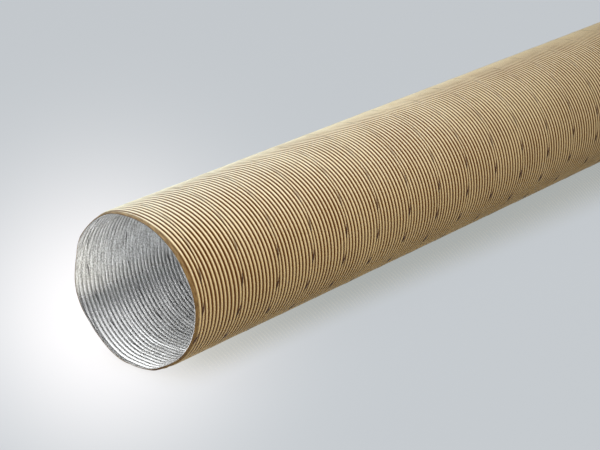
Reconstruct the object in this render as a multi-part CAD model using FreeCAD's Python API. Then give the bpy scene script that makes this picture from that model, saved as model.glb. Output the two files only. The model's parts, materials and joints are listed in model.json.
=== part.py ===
import FreeCAD, Part
import os

# Flexible air duct: a straight piece of fine-ribbed heater ducting, cut square at both ends.
# The wall is three plies wound and glued on one another: a foil liner, a paper core and a
# kraft paper cover. The cover carries the ribs that let the duct bend without kinking.
# All sizes are millimetres. The duct lies along X on the plane z = 0, centred on the origin.

# The bore is the size that the duct is bought by: it slips over a spigot of this diameter.
bore_diameter = 60.0

# The piece is cut to this length from a long roll.
duct_length = 360.64

# Ply thicknesses, from the bore outwards.
foil_thickness = 0.10
core_thickness = 0.15
cover_thickness = 0.15

# The ribs stand on the cover: the height is from the groove floor to the crest. Both ends are
# cut in a groove, so the pitch is fitted to a whole number of ribs.
rib_height = 0.80
rib_pitch = 1.96
rib_count = round(duct_length / rib_pitch)
fitted_pitch = duct_length / rib_count

# Where the duct lies, its crests are pressed flat by this much.
rest_flat_depth = 0.50

foil_inner_radius = bore_diameter / 2
core_inner_radius = foil_inner_radius + foil_thickness
cover_inner_radius = core_inner_radius + core_thickness
groove_radius = cover_inner_radius + cover_thickness
crest_radius = groove_radius + rib_height

near_end_x = -duct_length / 2
axis_height = crest_radius - rest_flat_depth
along_duct = FreeCAD.Vector(1, 0, 0)


def on_axis(x):
    """Point on the duct's axis at a distance x from the middle of its length."""
    return FreeCAD.Vector(x, 0, axis_height)


def ring(x, radius):
    """Circle round the duct's axis, as a wire for the loft."""
    return Part.Wire([Part.makeCircle(radius, on_axis(x), along_duct)])


def ply_tube(inner_radius, thickness):
    """Plain wound ply: a thin tube as long as the duct."""
    outside = Part.makeCylinder(inner_radius + thickness, duct_length, on_axis(near_end_x), along_duct)
    inside = Part.makeCylinder(inner_radius, duct_length, on_axis(near_end_x), along_duct)
    return outside.cut(inside)


def ribbed_rod():
    """Solid rod with the duct's ribs: each rib rises from one groove to its crest and falls to the next."""
    rings = [ring(near_end_x, groove_radius)]
    for rib in range(rib_count):
        rib_start_x = near_end_x + rib * fitted_pitch
        rings.append(ring(rib_start_x + fitted_pitch / 2, crest_radius))
        rings.append(ring(rib_start_x + fitted_pitch, groove_radius))
    return Part.makeLoft(rings, True, True)


def kraft_cover_shape():
    """Ribbed cover, bored to fit over the core and flattened along its underside."""
    bore = Part.makeCylinder(cover_inner_radius, duct_length, on_axis(near_end_x), along_duct)
    cover = ribbed_rod().cut(bore)
    # The cutting box reaches one rib past the duct on every side.
    box_length = duct_length + 2 * rib_pitch
    box_width = 2 * (crest_radius + rib_pitch)
    box_corner = FreeCAD.Vector(-box_length / 2, -box_width / 2, -crest_radius)
    below_rest_plane = Part.makeBox(box_length, box_width, crest_radius, box_corner)
    return cover.cut(below_rest_plane)


nodes = {
    "foil_liner": ply_tube(foil_inner_radius, foil_thickness),
    "paper_core": ply_tube(core_inner_radius, core_thickness),
    "kraft_cover": kraft_cover_shape(),
}

os.makedirs("parts", exist_ok=True)
for node_name, shape in nodes.items():
    shape.exportStep("parts/" + node_name + ".step")
    print(node_name, "solids", len(shape.Solids), "volume mm3", round(shape.Volume, 1))
print("ribs", rib_count, "length mm", round(duct_length, 2), "outer diameter mm", round(2 * crest_radius, 2))
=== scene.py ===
import json
import math

import bpy
import numpy as np
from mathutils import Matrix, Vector


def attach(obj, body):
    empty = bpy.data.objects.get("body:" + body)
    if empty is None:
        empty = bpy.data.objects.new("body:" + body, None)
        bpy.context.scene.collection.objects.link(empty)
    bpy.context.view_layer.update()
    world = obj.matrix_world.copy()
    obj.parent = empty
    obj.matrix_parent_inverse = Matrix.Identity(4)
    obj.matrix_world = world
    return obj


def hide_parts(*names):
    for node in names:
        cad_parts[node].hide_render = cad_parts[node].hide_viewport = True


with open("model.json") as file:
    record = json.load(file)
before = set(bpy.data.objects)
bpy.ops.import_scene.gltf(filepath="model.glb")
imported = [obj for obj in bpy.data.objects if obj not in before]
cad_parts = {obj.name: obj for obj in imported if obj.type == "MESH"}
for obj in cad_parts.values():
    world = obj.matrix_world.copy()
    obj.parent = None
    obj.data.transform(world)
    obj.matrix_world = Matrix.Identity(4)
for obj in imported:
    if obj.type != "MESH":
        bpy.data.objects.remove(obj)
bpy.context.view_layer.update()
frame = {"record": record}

# Foil liner. A long strip of thin aluminium foil is wound first, in a left-handed helix round a
# mandrel, and makes the bore. When the whole wall is pressed into ribs the foil takes them too,
# so the bore shows every rib from behind, with the small crinkles that foil gets in a press.

millimetre = 0.001
near_bore = next(m for m in frame["record"]["mounts"] if m["name"] == "near_end_bore")
near_end = near_bore["pos_m"][0]
axis_height = near_bore["pos_m"][2]
bore_radius = near_bore["dims"]["r_mm"] * millimetre
duct_length = near_bore["dims"]["length_mm"] * millimetre

# The ribs climb as a five-start right-handed helix. The strip's lapped edge runs the other way,
# and the ribs step back a little each time that they cross it.
rib_pitch = 1.96 * millimetre
rib_starts = 5
first_crest = 1.99 * millimetre
rib_depth = 0.80 * millimetre
crest_fullness = 0.13 * millimetre
strip_width = 20.85 * millimetre
cover_strip_edge = 15.2 * millimetre
foil_strip_edge = 6.75 * millimetre
edge_step_back = 0.65 * millimetre
step_back_length = 1.0 * millimetre
notch_width = 0.21 * millimetre
lap_edge_softness = 0.25 * millimetre
lap_fade = 3.0 * millimetre

# No wound duct is quite even: its ribs wander a little along it, and its wall is slightly out of
# round.
rib_wander = 0.10 * millimetre
wall_waviness = 0.05 * millimetre

# The knife presses the ribs flat in a narrow band along each cut.
cut_band = 0.95 * millimetre

# Near the open end the ribs have crept towards the cut: middle and spread in degrees, then how
# far they moved and how far into the duct that reaches, in millimetres.
rib_creeps = ((150, 180, 1.35, 25), (95, 30, 1.05, 85))

# The near end was cut by hand. The cut follows one rib for nearly half a turn, steps back to its
# start and wanders a little: angles in degrees, then its place along the duct in millimetres.
near_cut = ((4, -0.25), (13, 0.0), (22, -0.75), (31, -1.25), (38, -0.75), (45, -0.40), (54, -0.20),
            (64, -1.10), (74, -2.50), (90, -2.95), (110, -2.50), (130, -2.05), (150, -1.75),
            (160, -1.20), (170, -0.60), (180, -0.05), (200, 0.50), (225, 1.20), (238, 1.30),
            (246, -1.10), (256, -1.75), (268, -1.85), (280, -1.30), (292, -0.80), (307, -0.28),
            (322, -0.30), (333, -0.90), (345, -1.10), (354, -0.85))

# From the bore to the crests the whole wall is this deep. Where the duct lies on the floor its
# wall is pressed up, with a soft bend to either side.
wall_depth = 1.20 * millimetre
rest_softness = 0.35 * millimetre

# On one side of the bore the foil has been rubbed smoother. Each edge of that side has an angle
# and a softness in degrees.
smoothed_from = (-14.0, 3.5)
smoothed_to = (30.0, 6.0)

# Each ply that shows is built in lengths, so that no mesh is too heavy, and the sides that lie
# hidden in the wall are coarser. The grid starts some ribs before the near end and stops some
# past the far end, because its rows climb along the helix and are cut off at the ends.
ribs_before = rib_starts + 4
ribs_past = 2
fine_rows_per_rib = 8
fine_columns = 240
hidden_rows_per_rib = 2
hidden_columns = 80
lengths_per_ply = 5


def ripple(along, angle, seed, shortest, longest, turns=4):
    """Smooth unevenness from -1 to 1, about: twice the mean of 14 cosine waves, each with a
    whole number of waves round the duct and a random wavelength along it."""
    waves = 14
    draw = np.random.default_rng(seed)
    total = np.zeros(np.broadcast(along, angle).shape)
    for _ in range(waves):
        waves_round = draw.integers(-turns, turns + 1)
        wavelength = draw.uniform(shortest, longest)
        phase = draw.uniform(0, 2 * math.pi)
        total += np.cos(waves_round * angle + 2 * math.pi * along / wavelength + phase)
    return 2 * total / waves


def edge_distance(along, angle, strip_edge):
    """Distance along the duct from the nearest turn of a strip's lapped edge. The edge moves
    back by one strip width for each turn of the angle."""
    turns = (along - strip_edge) / strip_width + angle / (2 * math.pi)
    return (turns - np.round(turns)) * strip_width


def turn_between(angle, centre):
    """Degrees from a centre to an angle, the shorter way round."""
    away = np.degrees(angle) - centre
    return away - 360 * np.round(away / 360)


def smoothed_share(angle):
    """How much the foil is rubbed at an angle, from 0 to 1: the product of two logistic curves,
    one that rises at the side's first edge and one that falls at its last."""
    first, first_softness = smoothed_from
    last, last_softness = smoothed_to
    risen = 1 / (1 + np.exp(-turn_between(angle, first) / first_softness))
    left = 1 / (1 + np.exp(turn_between(angle, last) / last_softness))
    return risen * left


def cut_place(angle):
    """Place of the near end's cut along the duct at an angle: straight between the points of
    its list."""
    angles, places = zip(*near_cut)
    return np.interp(np.degrees(angle), angles, places, period=360) * millimetre


def wall_side(side, columns, rows_per_rib):
    """One side of a ply on a grid that follows the ribs: a row keeps its place on its rib, and a
    column its angle. A point's place along the duct is its rib's number times the pitch, plus
    the helix's climb, the step back at the cover's edge, the wander, and a sine that makes the
    crest fuller, less each creep: a bell curve of the angle times one of the place. Its radius
    is the groove's plus the rib's depth times a raised cosine, less the nick and plus the lap
    at the strip's edge. The rib dies away at each cut by one minus a bell curve. Near the floor
    a soft ramp lifts the wall. With each point go its normal and five values for the finish."""
    first_row = -ribs_before * rows_per_rib
    last_row = (round(duct_length / rib_pitch) + ribs_past) * rows_per_rib
    ribs = np.arange(first_row, last_row + 1)[:, None] / rows_per_rib
    angle = 2 * math.pi * np.arange(-1, columns + 2)[None, :] / columns
    along = first_crest + rib_pitch * (ribs + rib_starts * angle / (2 * math.pi))
    from_edge = edge_distance(along, angle, cover_strip_edge)
    step = from_edge / strip_width - 0.5 * np.tanh(from_edge / step_back_length)
    phase = 2 * math.pi * ribs
    uneven = ripple(along, angle, seed=11, shortest=9 * millimetre, longest=60 * millimetre)
    place = along + edge_step_back * step + rib_wander * uneven
    for centre, spread, moved, reach in rib_creeps:
        share = np.exp(-((turn_between(angle, centre) / spread) ** 2))
        reached = np.exp(-((np.maximum(along, 0) / (reach * millimetre)) ** 2))
        place = place - moved * millimetre * share * reached
    place = place + side["fullness"] * np.sin(phase)
    from_cut = np.clip(np.minimum(place - cut_place(angle), duct_length - place), 0, None)
    away = edge_distance(along, angle, side["strip_edge"])
    notch = np.exp(-((away / notch_width) ** 2)) * (0.5 + 0.5 * np.cos(phase - side["notch_at"]))
    rib = (0.5 + 0.5 * np.cos(phase)) * (1 - np.exp(-((from_cut / cut_band) ** 2)))
    smoothed = smoothed_share(angle) + np.zeros_like(phase)
    depth = side["depth"] * (1 - side["smoothed"] * smoothed)
    radius = side["groove"] + depth * rib - side["notch"] * notch
    lapped = 0.5 + 0.5 * np.tanh(away / lap_edge_softness)
    radius = radius + side["lap"] * lapped * np.exp(-np.maximum(away, 0) / lap_fade)
    wavy = ripple(along, angle, seed=5, shortest=12 * millimetre, longest=90 * millimetre)
    radius = radius + wall_waviness * wavy
    radius = radius + side["crinkle"] * crinkle(along, angle)
    across = radius * np.cos(angle)
    sunk = -axis_height - (bore_radius + wall_depth) * np.sin(angle)
    lift = rest_softness * np.log1p(np.exp(sunk / rest_softness))
    height = axis_height + radius * np.sin(angle) + lift
    height = np.maximum(height, side["lowest"])
    points = np.stack([place, across, height], axis=-1)
    normals = np.cross(np.gradient(points, axis=1), np.gradient(points, axis=0))
    normals /= np.linalg.norm(normals, axis=-1, keepdims=True)
    values = np.stack([rib, np.abs(away) / millimetre, notch, smoothed, from_cut / millimetre], -1)
    grid = np.concatenate([points, normals, values], axis=-1)
    return grid[:, 1:-1]


def crinkle(along, angle):
    """Small creases of pressed foil: the mean of three fine ripples, each folded at zero so that
    it has sharp valleys. Each has a seed and a shortest wavelength in millimetres."""
    ripples = ((21, 2.2), (22, 1.5), (23, 3.1))
    total = 0
    for seed, size in ripples:
        wave = ripple(along, angle, seed, size * millimetre, 3 * size * millimetre, turns=60)
        total = total + np.abs(wave)
    return total / len(ripples)


def cut_to_length(grid, from_place, to_place, columns, rows_per_rib):
    """The grid between two places along the duct: in each column, every row before the first
    place or past the last moves to the point where the column crosses it, found by a straight
    line between two rows. At place 0 the cut is the one made by hand, and elsewhere it is square.
    The last column is the first one, as many ribs further on as the helix has starts. Gives the
    points that are left and the number of each grid point among them."""
    rows = np.arange(len(grid))[:, None]
    first_cut = np.full(columns + 1, from_place)
    if from_place == 0:
        first_cut = cut_place(2 * math.pi * np.arange(columns + 1) / columns)
    before = (grid[..., 0] <= first_cut).sum(axis=0) - 1
    past = (grid[..., 0] < to_place).sum(axis=0)
    cut = grid.copy()
    for row, inner, place in ((before, before + 1, first_cut), (past, past - 1, to_place)):
        column = np.arange(columns + 1)
        outside, inside = grid[row, column], grid[inner, column]
        share = (place - outside[:, 0]) / (inside[:, 0] - outside[:, 0])
        cut[row, column] = outside + share[:, None] * (inside - outside)
    number = np.clip(rows, before, past) * columns + np.arange(columns + 1)
    one_turn_on = np.minimum(rows[:, 0] + rib_starts * rows_per_rib, len(grid) - 1)
    number[:, columns] = number[one_turn_on, 0]
    used, number_left = np.unique(number, return_inverse=True)
    points = cut[:, :columns].reshape(-1, grid.shape[-1])[used]
    return points, number_left.reshape(number.shape)


def grid_faces(number, outwards):
    """Faces of a numbered grid: four corners, or three where the cut has closed one side."""
    corners = np.stack([number[:-1, :-1], number[:-1, 1:], number[1:, 1:], number[1:, :-1]], -1)
    corners = corners.reshape(-1, 4)
    left_open = corners[:, 0] != corners[:, 3]
    right_open = corners[:, 1] != corners[:, 2]
    fours = corners[left_open & right_open]
    threes = np.concatenate([corners[~left_open & right_open][:, [0, 1, 2]],
                             corners[left_open & ~right_open][:, [0, 1, 3]]])
    if not outwards:
        fours, threes = fours[:, ::-1], threes[:, ::-1]
    return fours.tolist() + threes.tolist()


def ring_faces(fine_loop, coarse_loop, turned):
    """Flat faces between a fine loop and a coarse one: each joins one step of the coarse loop
    to all the steps of the fine loop beside it. The fine loop has a whole number for each."""
    ratio = (len(fine_loop) - 1) // (len(coarse_loop) - 1)
    starts = np.arange(len(coarse_loop) - 1)
    fine = np.stack([fine_loop[starts * ratio + step] for step in range(ratio + 1)], -1)
    faces = np.column_stack([coarse_loop[:-1], fine, coarse_loop[1:]])
    return (faces[:, ::-1] if turned else faces).tolist()


def ply_length(name, outer, inner, from_place, to_place):
    """A closed length of one ply: its two sides cut at two places along the duct and joined by
    a ring at each cut. The sides keep the normals of their grids, and the rings face along the
    duct. The mesh carries its five values as attributes."""
    outer_points, outer_number = cut_to_length(outer["grid"], from_place, to_place,
                                               outer["columns"], outer["rows_per_rib"])
    inner_points, inner_number = cut_to_length(inner["grid"], from_place, to_place,
                                               inner["columns"], inner["rows_per_rib"])
    inner_number = inner_number + len(outer_points)
    faces = grid_faces(outer_number, True) + grid_faces(inner_number, False)
    side_faces = len(faces)
    for end in (0, -1):
        loops = (outer_number[end], inner_number[end])
        finer_outside = len(loops[0]) >= len(loops[1])
        fine, coarse = loops if finer_outside else loops[::-1]
        faces += ring_faces(fine, coarse, finer_outside == (end == 0))
    points = np.concatenate([outer_points, inner_points])
    points[:, 0] += near_end
    mesh = bpy.data.meshes.new(name)
    mesh.from_pydata(points[:, :3], [], faces)
    normals = points[:, 3:6].copy()
    normals[len(outer_points):] *= -1
    corner_points = np.zeros(len(mesh.loops), np.int32)
    mesh.loops.foreach_get("vertex_index", corner_points)
    corner_normals = normals[corner_points]
    ring_start = mesh.polygons[side_faces].loop_start
    ring_corner_places = points[corner_points[ring_start:], 0]
    on_near_cut = ring_corner_places < near_end + (from_place + to_place) / 2
    corner_normals[ring_start:] = np.where(on_near_cut[:, None], (-1.0, 0, 0), (1.0, 0, 0))
    mesh.polygons.foreach_set("use_smooth", np.ones(len(mesh.polygons), bool))
    mesh.normals_split_custom_set(corner_normals)
    for index, label in enumerate(("rib", "edge_mm", "notch", "smoothed", "cut_mm")):
        attribute = mesh.attributes.new(label, "FLOAT", "POINT")
        attribute.data.foreach_set("value", points[:, 6 + index].astype(np.float32))
    piece = bpy.data.objects.new(name, mesh)
    bpy.context.scene.collection.objects.link(piece)
    return piece


def side_grid(columns, rows_per_rib, groove, depth, fullness=0.0, notch=0.0, notch_at=0.0,
              lap=0.0, crinkled=0.0, smoothed=0.0, strip_edge=cover_strip_edge):
    """One side of a ply: its form, made into its grid. A side that lies deeper in the wall is
    also that much higher where the duct rests on its flattened crests."""
    crest = groove + depth
    form = {"groove": groove, "depth": depth, "fullness": fullness, "notch": notch,
            "notch_at": notch_at, "lap": lap, "crinkle": crinkled, "strip_edge": strip_edge,
            "smoothed": smoothed, "lowest": bore_radius + wall_depth - crest}
    return {"grid": wall_side(form, columns, rows_per_rib), "columns": columns,
            "rows_per_rib": rows_per_rib}


def ply_pieces(name, outer, inner, count):
    """All the lengths of one ply, end to end."""
    pieces = []
    for index in range(count):
        label = f"{name}_{index + 1}" if count > 1 else name
        from_place = duct_length * index / count
        to_place = duct_length * (index + 1) / count
        pieces.append(ply_length(label, outer, inner, from_place, to_place))
    return pieces


class Signal:
    """A value that varies over a surface. Python's operators on it add Math nodes."""

    def __init__(self, finish, socket):
        self.finish = finish
        self.socket = socket

    def __add__(self, other):
        return self.finish.math("ADD", self, other)

    def __sub__(self, other):
        return self.finish.math("SUBTRACT", self, other)

    def __rsub__(self, other):
        return self.finish.math("SUBTRACT", other, self)

    def __mul__(self, other):
        return self.finish.math("MULTIPLY", self, other)

    def __truediv__(self, other):
        return self.finish.math("DIVIDE", self, other)

    def __pow__(self, other):
        return self.finish.math("POWER", self, other)

    __radd__ = __add__
    __rmul__ = __mul__


class Finish:
    """The nodes of a material, or of the room round the object."""

    def __init__(self, holder):
        self.holder = holder
        holder.use_nodes = True
        self.tree = holder.node_tree
        self.tree.nodes.clear()

    def node(self, kind, settings=None, sockets=None, output=0):
        """Adds a node: its settings first, then the values or links of its sockets."""
        made = self.tree.nodes.new("ShaderNode" + kind)
        for name, value in (settings or {}).items():
            setattr(made, name, value)
        for name, value in (sockets or {}).items():
            if isinstance(value, Signal):
                self.tree.links.new(value.socket, made.inputs[name])
            else:
                made.inputs[name].default_value = value
        return Signal(self, made.outputs[output]) if made.outputs else None

    def math(self, operation, first, second=0.0):
        """A Math node on one or two values."""
        return self.node("Math", {"operation": operation}, {0: first, 1: second})

    def colour_mix(self, share, first, second, kind="MIX"):
        """The first colour at share 0 and the second at 1."""
        settings = {"data_type": "RGBA", "blend_type": kind}
        return self.node("Mix", settings, {0: share, 6: first, 7: second}, output=2)

    def stretched_noise(self, stretch, scale, detail=3.0, roughness=0.55):
        """Noise on Object coordinates, with the pattern squeezed by stretch along each axis."""
        place = self.node("TexCoord", output="Object")
        squeezed = self.node("Mapping", {}, {"Vector": place, "Scale": stretch})
        sockets = {"Vector": squeezed, "Scale": scale, "Detail": detail, "Roughness": roughness}
        return self.node("TexNoise", {}, sockets)

    def smooth_range(self, value, low, high, low_result=0.0, high_result=1.0):
        """From low_result to high_result, smoothly, as value goes from low to high."""
        sockets = {"Value": value, "From Min": low, "From Max": high,
                   "To Min": low_result, "To Max": high_result}
        return self.node("MapRange", {"interpolation_type": "SMOOTHSTEP"}, sockets)

    def attribute(self, name):
        """One of the values that the mesh carries at its points."""
        return self.node("Attribute", {"attribute_name": name}, output="Fac")

    def level(self):
        """Height over the duct's axis in bore radii: -1 at the bottom of the bore, 1 at its top."""
        place = self.node("TexCoord", output="Object")
        height = self.node("SeparateXYZ", {}, {0: place}, output="Z")
        return (height - axis_height) / bore_radius

    def seen_ray(self):
        """1 on rays from the camera and on their mirrored and see-through paths, 0 on others."""
        seen = self.node("LightPath", output="Is Camera Ray")
        for path in ("Is Glossy Ray", "Is Transmission Ray"):
            seen = self.math("MAXIMUM", seen, self.node("LightPath", output=path))
        return seen


foil_groove = bore_radius
foil_rib_depth = 0.56 * millimetre
foil_thickness = 0.10 * millimetre
foil_back_depth = 0.72 * millimetre
crinkle_height = 0.05 * millimetre
depth_rubbed_away = 0.89

foil_front = side_grid(fine_columns, fine_rows_per_rib, foil_groove, foil_rib_depth,
                       fullness=-crest_fullness, notch_at=math.pi, crinkled=crinkle_height,
                       smoothed=depth_rubbed_away, strip_edge=foil_strip_edge)
foil_back = side_grid(hidden_columns, hidden_rows_per_rib, foil_groove + foil_thickness,
                      foil_back_depth)

foil_bright = (0.96, 0.96, 0.955, 1)
foil_rubbed = (0.91, 0.94, 0.98, 1)
foil_dark = (0.08, 0.08, 0.085, 1)

foil = Finish(bpy.data.materials.new("bright crinkled foil"))
rib = foil.attribute("rib")
notch = foil.attribute("notch")
smoothed = foil.attribute("smoothed")
level = foil.level()
streaks = foil.stretched_noise((0.5, 3.0, 3.0), 500, detail=4)
specks = foil.stretched_noise((1, 1, 1), 1300, detail=2)
hairlines = foil.stretched_noise((4.0, 0.4, 0.4), 320, detail=3)
creases = foil.stretched_noise((1, 1, 1), 420, detail=5, roughness=0.65)
patchiness = foil.stretched_noise((1, 1, 1), 60, detail=2)

# How dark the foil is, from 0 to 1. The rubbed side has hairlines and specks. The grooves between
# the ribs get painted shade, less at the bottom of the bore. At its top the foil gets a little
# painted shade all over, and the grooves get sharp, patchy dark lines of painted shade. Each rib
# has a painted shadow of a nick at the strip's edge, and a painted dark reflection lies as a band
# along the lower half of the bore.
rubbed = foil.smooth_range(hairlines, 0.46, 0.62, 0.0, 0.32)
rubbed = smoothed * (rubbed + foil.smooth_range(specks, 0.42, 0.62, 0.0, 0.32))
bottom = foil.smooth_range(level, -0.90, -0.60, 1.0, 0.0)
top = foil.smooth_range(level, 0.20, 0.50)
top_groove_shade = foil.smooth_range(rib, 0.84, 0.97) * foil.smooth_range(patchiness, 0.35, 0.60, 0.3, 1.0)
groove_shade = foil.smooth_range(rib, 0.58, 0.92, 0.0, 0.42) * (1 - 0.75 * smoothed)
groove_shade = groove_shade * (1 - 0.5 * bottom) + top * (0.08 + top_groove_shade)
# Painted dark reflection: a band along the lower half of the bore.
dark_reflection_band = foil.smooth_range(level, -0.38, -0.15, 0.16, 0.0)
dark_reflection_band = dark_reflection_band * foil.smooth_range(level, -0.80, -0.38)
# The nick term is a painted shadow of a nick on each rib.
darkness = groove_shade + 1.7 * notch ** 2 + rubbed + dark_reflection_band
foil_base = foil.colour_mix(smoothed, foil_bright, foil_rubbed)
foil_colour = foil.colour_mix(darkness, foil_base, foil_dark)
patchy_roughness = foil.smooth_range(patchiness, 0.3, 0.7, 0.16, 0.25)
bumps = 0.28 * creases + 0.16 * streaks + (0.20 + 0.80 * smoothed) * specks
relief = foil.node("Bump", {}, {"Strength": 1.0, "Distance": 0.0004, "Height": bumps})
foil_shader = foil.node("BsdfPrincipled", {}, {
    "Base Color": foil_colour, "Metallic": 1 - 0.72 * smoothed,
    "Roughness": patchy_roughness + 0.40 * smoothed + 0.16 * bottom, "Normal": relief})
foil.node("OutputMaterial", {}, {"Surface": foil_shader})

# This group lets a lamp light the foil alone, because it would colour the paper's cut edge.
foil_alone = bpy.data.collections.new("foil alone")
for piece in ply_pieces("foil_liner", foil_back, foil_front, lengths_per_ply):
    foil_alone.objects.link(piece)
    piece.data.materials.append(foil.holder)
    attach(piece, "root")
    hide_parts("foil_liner")

# Paper core. A strip of plain brown paper, glued between foil and cover, that gives the wall its
# body. It lies inside the wall, so only its cut edge shows, as the brown line round each end.

core_outer_groove = foil_groove + 0.25 * millimetre
core_inner_groove = foil_groove + 0.12 * millimetre
core_outer_depth = 0.68 * millimetre
core_inner_depth = 0.72 * millimetre
core_fibre_dark = (0.10, 0.055, 0.022, 1)
core_fibre_pale = (0.26, 0.155, 0.07, 1)

core_outer = side_grid(hidden_columns, hidden_rows_per_rib, core_outer_groove, core_outer_depth)
core_inner = side_grid(hidden_columns, hidden_rows_per_rib, core_inner_groove, core_inner_depth)

core_paper = Finish(bpy.data.materials.new("glued brown paper"))
fibres = core_paper.stretched_noise((1, 1, 1), 2500, detail=3)
core_colour = core_paper.colour_mix(fibres, core_fibre_dark, core_fibre_pale)
core_relief = core_paper.node("Bump", {}, {"Strength": 0.6, "Distance": 0.0001, "Height": fibres})
core_shader = core_paper.node("BsdfPrincipled", {}, {
    "Base Color": core_colour, "Roughness": 0.8, "Normal": core_relief})
core_paper.node("OutputMaterial", {}, {"Surface": core_shader})

for piece in ply_pieces("paper_core", core_outer, core_inner, 1):
    piece.data.materials.append(core_paper.holder)
    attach(piece, "root")
    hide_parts("paper_core")

# Kraft cover. A strip of tan kraft paper, wound last over the core with its edge lapped and
# glued, then pressed into ribs together with the rest of the wall. The crests are smoother and
# painted pale with a painted highlight, the grooves are painted dark as painted shade, and each rib
# is nicked where the lapped edge crosses it, with a painted shadow in the nick.

cover_groove = foil_groove + 0.40 * millimetre
cover_back_groove = foil_groove + 0.28 * millimetre
cover_back_depth = 0.67 * millimetre
lap_height = 0.10 * millimetre

# Each nick lies a little before its rib's crest: the phase is in radians of the rib's wave.
notch_depth = 0.12 * millimetre
notch_phase = -0.6

# The crest colour is the tan paper with a painted highlight, the groove colour is painted shade,
# and the nick colour is a painted shadow.
kraft_crest_highlight = (0.92, 0.81, 0.60, 1)
kraft_groove_shade = (0.12, 0.041, 0.003, 1)
kraft_nick_shadow = (0.05, 0.014, 0.003, 1)
cut_band_dark = (0.17, 0.105, 0.048, 1)
cut_band_pale = (0.33, 0.225, 0.115, 1)

cover_front = side_grid(fine_columns, fine_rows_per_rib, cover_groove, rib_depth,
                        fullness=crest_fullness, notch=notch_depth, notch_at=notch_phase,
                        lap=lap_height)
cover_back = side_grid(hidden_columns, hidden_rows_per_rib, cover_back_groove, cover_back_depth)

kraft = Finish(bpy.data.materials.new("ribbed kraft paper"))
rib = kraft.attribute("rib")
notch = kraft.attribute("notch")
edge = kraft.attribute("edge_mm")
from_cut = kraft.attribute("cut_mm")
level = kraft.level()
fibres = kraft.stretched_noise((2.2, 0.5, 0.5), 900, detail=4)
mottle = kraft.stretched_noise((1, 1, 1), 45, detail=3)
grain = kraft.stretched_noise((1, 1, 1), 3000, detail=2)

# From groove to crest the paper goes from painted shade to the pale crest with its painted
# highlight, a little later beside the lapped edge and where it is mottled. In the pressed band
# along each cut its fibres show instead of the painted groove shade.
band = kraft.smooth_range(from_cut, 1.5, 2.1, 1.0, 0.0)
band_fibres = kraft.smooth_range(fibres, 0.35, 0.65)
band_colour = kraft.colour_mix(band_fibres, cut_band_dark, cut_band_pale)
groove_shade_and_band_colour = kraft.colour_mix(band, kraft_groove_shade, band_colour)
beside_edge = kraft.smooth_range(edge, 0.2, 1.3, 1.0, 0.0)
crest_highlight_share = kraft.smooth_range(rib - 0.05 * beside_edge - 0.25 * (mottle - 0.5), 0.48, 0.98)
paper_with_painted_light = kraft.colour_mix(crest_highlight_share, groove_shade_and_band_colour, kraft_crest_highlight)
tone = 0.84 + 0.18 * fibres + 0.14 * mottle
grey = kraft.node("CombineColor", {}, {"Red": tone, "Green": tone, "Blue": tone})
toned = kraft.colour_mix(1.0, paper_with_painted_light, grey, kind="MULTIPLY")

# The nicks are painted dark, a painted shadow, most on the lower half of the duct.
painted_nick_shade = kraft.smooth_range(notch, 0.18, 0.50) * kraft.smooth_range(level, 0.0, 1.0, 1.0, 0.30)
cover_colour = kraft.colour_mix(painted_nick_shade, toned, kraft_nick_shadow)
relief = kraft.node("Bump", {}, {"Strength": 0.5, "Distance": 0.00008,
                                 "Height": 0.5 * grain + 0.5 * fibres})
kraft_shader = kraft.node("BsdfPrincipled", {}, {
    "Base Color": cover_colour, "Roughness": kraft.smooth_range(rib, 0.2, 0.9, 0.75, 0.38),
    "Specular IOR Level": 0.4, "Normal": relief})
kraft.node("OutputMaterial", {}, {"Surface": kraft_shader})

for piece in ply_pieces("kraft_cover", cover_front, cover_back, lengths_per_ply):
    piece.data.materials.append(kraft.holder)
    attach(piece, "root")
    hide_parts("kraft_cover")

# Floor. A plain pale studio floor. The camera and mirrored rays see it lit evenly from within,
# with a pale glow round the open end. It keeps the duct's shadow, and is polished in a strip
# along the duct, so that it reflects the lowest ribs.

floor_half_size = 6.0
floor_mesh = bpy.data.meshes.new("floor")
floor_corners = [(-1, -1, 0), (1, -1, 0), (1, 1, 0), (-1, 1, 0)]
floor_mesh.from_pydata([tuple(floor_half_size * c for c in corner) for corner in floor_corners],
                       [], [(0, 1, 2, 3)])
floor = bpy.data.objects.new("floor", floor_mesh)
bpy.context.scene.collection.objects.link(floor)

# The glow is a bell curve round a place on the floor. Its two vectors give how fast it fades
# across and along the view, per metre, and the third how much wider it grows with distance.
glow_centre = (-0.1519, 0.0443, 0.0)
glow_across = (13.35, -13.78, 0.0)
glow_along = (5.80, 4.70, 0.0)
glow_widening = (0.889, 0.720, 0.0)
floor_grey = (0.566, 0.599, 0.633, 1)
floor_glow = (1.08, 1.06, 1.07, 1)
painted_paper_reflection = (0.98, 0.98, 0.89, 1)
floor_bounce = (0.42, 0.33, 0.17, 1)
shadow_strength = 0.06
polish_strength = 0.26
polish_offset = 0.005

pale = Finish(bpy.data.materials.new("pale floor"))
place = pale.node("TexCoord", output="Object")
from_glow = pale.node("VectorMath", {"operation": "SUBTRACT"}, {0: place, 1: glow_centre})
across, along, widening = [
    pale.node("VectorMath", {"operation": "DOT_PRODUCT"}, {0: from_glow, 1: run}, output="Value")
    for run in (glow_across, glow_along, glow_widening)]
glow = pale.math("EXPONENT", -1 * (across * across + along * along) / (widening + 1) ** 2)
backdrop = pale.colour_mix(glow, floor_grey, floor_glow)

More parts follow.
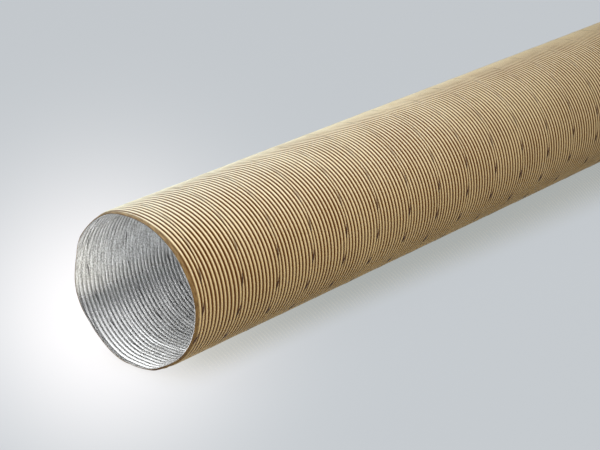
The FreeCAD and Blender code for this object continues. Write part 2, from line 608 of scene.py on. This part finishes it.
# The polished strip is wider towards the far end, and stops at both ends of the duct. Under it the
# floor is painted a little warmer, a painted reflection of the paper.
along_duct = pale.node("SeparateXYZ", {}, {0: place}, output="X")
beside_duct = pale.node("SeparateXYZ", {}, {0: place}, output="Y")
beside_duct = pale.math("ABSOLUTE", beside_duct + polish_offset)
half_width = pale.smooth_range(along_duct, -0.16, 0.16, 0.030, 0.048)
polish = pale.smooth_range(beside_duct / half_width, 0.30, 1.0, polish_strength, 0.0)
polish = polish * pale.smooth_range(along_duct, -0.195, -0.150)
polish = polish * pale.smooth_range(along_duct, 0.165, 0.200, 1.0, 0.0)
backdrop = pale.colour_mix(3 * polish, backdrop, painted_paper_reflection, kind="MULTIPLY")
shaded_floor = pale.node("BsdfDiffuse", {}, {"Color": backdrop})
lit_floor = pale.node("Emission", {}, {"Color": backdrop, "Strength": 1.0})
mirror_floor = pale.node("BsdfGlossy", {}, {"Color": (1, 1, 1, 1), "Roughness": 0.03})
even_floor = pale.node("MixShader", {}, {0: shadow_strength, 1: lit_floor, 2: shaded_floor})
seen_floor = pale.node("MixShader", {}, {0: polish, 1: even_floor, 2: mirror_floor})
plain_floor = pale.node("BsdfDiffuse", {}, {"Color": floor_bounce})
floor_shader = pale.node("MixShader", {}, {0: pale.seen_ray(), 1: plain_floor, 2: seen_floor})
pale.node("OutputMaterial", {}, {"Surface": floor_shader})
floor_mesh.materials.append(pale.holder)

# Light. Three soft lamps and an even warm room light the duct. A small lamp low in front of the
# open end lights the foil alone, and two more, over that end and on the floor, are only seen
# mirrored in the foil. The room that gloss mirrors is pale, and darker before and behind the view.


def soft_lamp(name, place, target, width, power, colour, mirrored=False, spread=True):
    """A square area lamp at a place, aimed at a target: its width in metres and power in watts.
    Gloss shows it only if it is mirrored, and matt surfaces only if its light is spread."""
    lamp = bpy.data.lights.new(name, "AREA")
    lamp.energy = power
    lamp.color = colour
    lamp.size = width
    holder = bpy.data.objects.new(name, lamp)
    holder.location = place
    holder.visible_glossy = mirrored
    holder.visible_diffuse = spread
    holder.visible_camera = False
    holder.rotation_euler = (Vector(target) - Vector(place)).to_track_quat("-Z", "Y").to_euler()
    bpy.context.scene.collection.objects.link(holder)
    return holder


soft_lamp("cool lamp", (-0.20, 0.06, 0.20), (-0.17, 0, 0.05),
          width=0.14, power=0.26, colour=(0.50, 0.74, 1.0))
soft_lamp("top lamp", (-0.05, 0.0, 0.23), (-0.05, 0, 0.05),
          width=0.18, power=0.135, colour=(0.95, 0.98, 1.0))
soft_lamp("front lamp", (-0.40, -0.36, 0.50), (-0.25, 0, 0.03),
          width=0.35, power=2.33, colour=(1.0, 0.875, 0.63))
soft_lamp("end lamp", (-0.27, 0.17, 0.22), (-0.17, 0, 0.02),
          width=0.30, power=0.34, colour=(0.95, 0.98, 1.0), mirrored=True, spread=False)
bounce_lamp = soft_lamp("bounce lamp", (-0.42, -0.10, 0.006), (-0.15, 0.015, 0.045),
                        width=0.06, power=1.65, colour=(1.0, 1.0, 0.98))
bounce_lamp.light_linking.receiver_collection = foil_alone
soft_lamp("floor lamp", (-0.235, -0.03, 0.004), (-0.235, -0.03, 1.0),
          width=0.09, power=0.035, colour=(1.0, 1.0, 1.0), mirrored=True, spread=False)

view_turn = math.radians(39.0)
along_view = (-math.cos(view_turn), -math.sin(view_turn), 0)

room = Finish(bpy.data.worlds.new("room"))
even_light = room.node("Background", {}, {"Color": (0.90, 0.79, 0.56, 1), "Strength": 0.34})
pale_room = room.node("Background", {}, {"Color": (0.98, 0.99, 1.0, 1), "Strength": 1.0})
shaded_side = room.node("Background", {}, {"Color": (0.22, 0.225, 0.23, 1), "Strength": 1.0})
direction = room.node("TexCoord", output="Generated")
facing = room.node("VectorMath", {"operation": "DOT_PRODUCT"}, {0: direction, 1: along_view},
                   output="Value")
shaded = room.smooth_range(room.math("ABSOLUTE", facing), 0.60, 0.90)
seen_room = room.node("MixShader", {}, {0: shaded, 1: pale_room, 2: shaded_side})
room_shader = room.node("MixShader", {}, {0: room.seen_ray(), 1: even_light, 2: seen_room})
room.node("OutputWorld", {}, {"Surface": room_shader})
bpy.context.scene.world = room.holder

# Camera. It stands where the photograph was taken from, 20.5 degrees above the duct and 39
# degrees off its axis, with a long lens.

camera_place = (-0.6893, -0.4910, 0.3199)
camera_tilt = math.radians(20.49)
lens_length = 123.45
sensor_width = 36.0

camera_data = bpy.data.cameras.new("camera")
camera_data.lens = lens_length
camera_data.sensor_width = sensor_width
camera = bpy.data.objects.new("camera", camera_data)
camera.location = camera_place
view_direction = Vector((math.cos(view_turn) * math.cos(camera_tilt),
                         math.sin(view_turn) * math.cos(camera_tilt), -math.sin(camera_tilt)))
camera.rotation_euler = view_direction.to_track_quat("-Z", "Y").to_euler()
bpy.context.scene.collection.objects.link(camera)
bpy.context.scene.camera = camera
bpy.context.scene.view_settings.view_transform = "Standard"
